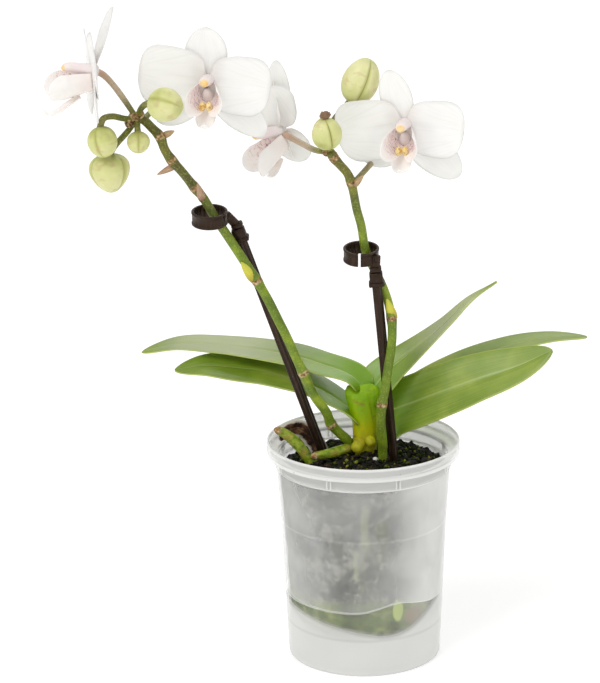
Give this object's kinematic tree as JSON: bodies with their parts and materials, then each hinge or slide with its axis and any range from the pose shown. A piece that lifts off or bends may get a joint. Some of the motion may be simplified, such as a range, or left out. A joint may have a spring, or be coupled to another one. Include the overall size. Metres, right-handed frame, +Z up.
{
  "type": "potted orchid",
  "caption": "Moth orchid with white flowers, buds and strap leaves on two staked flower spikes, growing in a round frosted plastic pot.",
  "frame": {"origin": "under the middle of the box round the whole plant, on the plane the pot rests on; the pot's own axis stands at x 17.636 mm, y -0.536 mm", "axes": "+Z up along the pot's axis, -Y towards the front that the flowers face, +X to the right as seen from the front"},
  "size_m": [0.2478, 0.091, 0.3092],
  "materials": {
    "pot": "frosted translucent polypropylene",
    "mix": "rough damp bark with moss",
    "crown": "smooth yellow-green leaf bases",
    "leaf": "waxy satin leaf",
    "root": "matt green root skin",
    "husk": "dry papery brown",
    "spike": "waxy green stem with fine speckle",
    "bud": "waxy pale green",
    "petal": "soft satin white",
    "lip": "soft white with pink and yellow tints",
    "stake": "dark brown satin",
    "clip": "dark brown satin"
  },
  "bodies": {
    "root": {"pot": "pot", "growing_mix": "mix", "crown": "crown", "leaf_left_upper": "leaf", "leaf_left_lower": "leaf", "leaf_upright": "leaf", "leaf_right_back": "leaf", "leaf_right_front": "leaf", "aerial_root_front": "root", "aerial_root_back": "root", "dry_husk": "husk", "spike_left": "spike", "spike_right": "spike", "bud_1": "bud", "bud_2": "bud", "bud_3": "bud", "bud_4": "bud", "bud_5": "bud", "bud_6": "bud", "flower_1_petals": "petal", "flower_1_lip": "lip", "flower_2_petals": "petal", "flower_2_lip": "lip", "flower_3_petals": "petal", "flower_3_lip": "lip", "flower_4_petals": "petal", "flower_4_lip": "lip", "stake_left": "stake", "stake_right": "stake", "clip_left": "clip", "clip_right": "clip"}
  },
  "joints": []
}
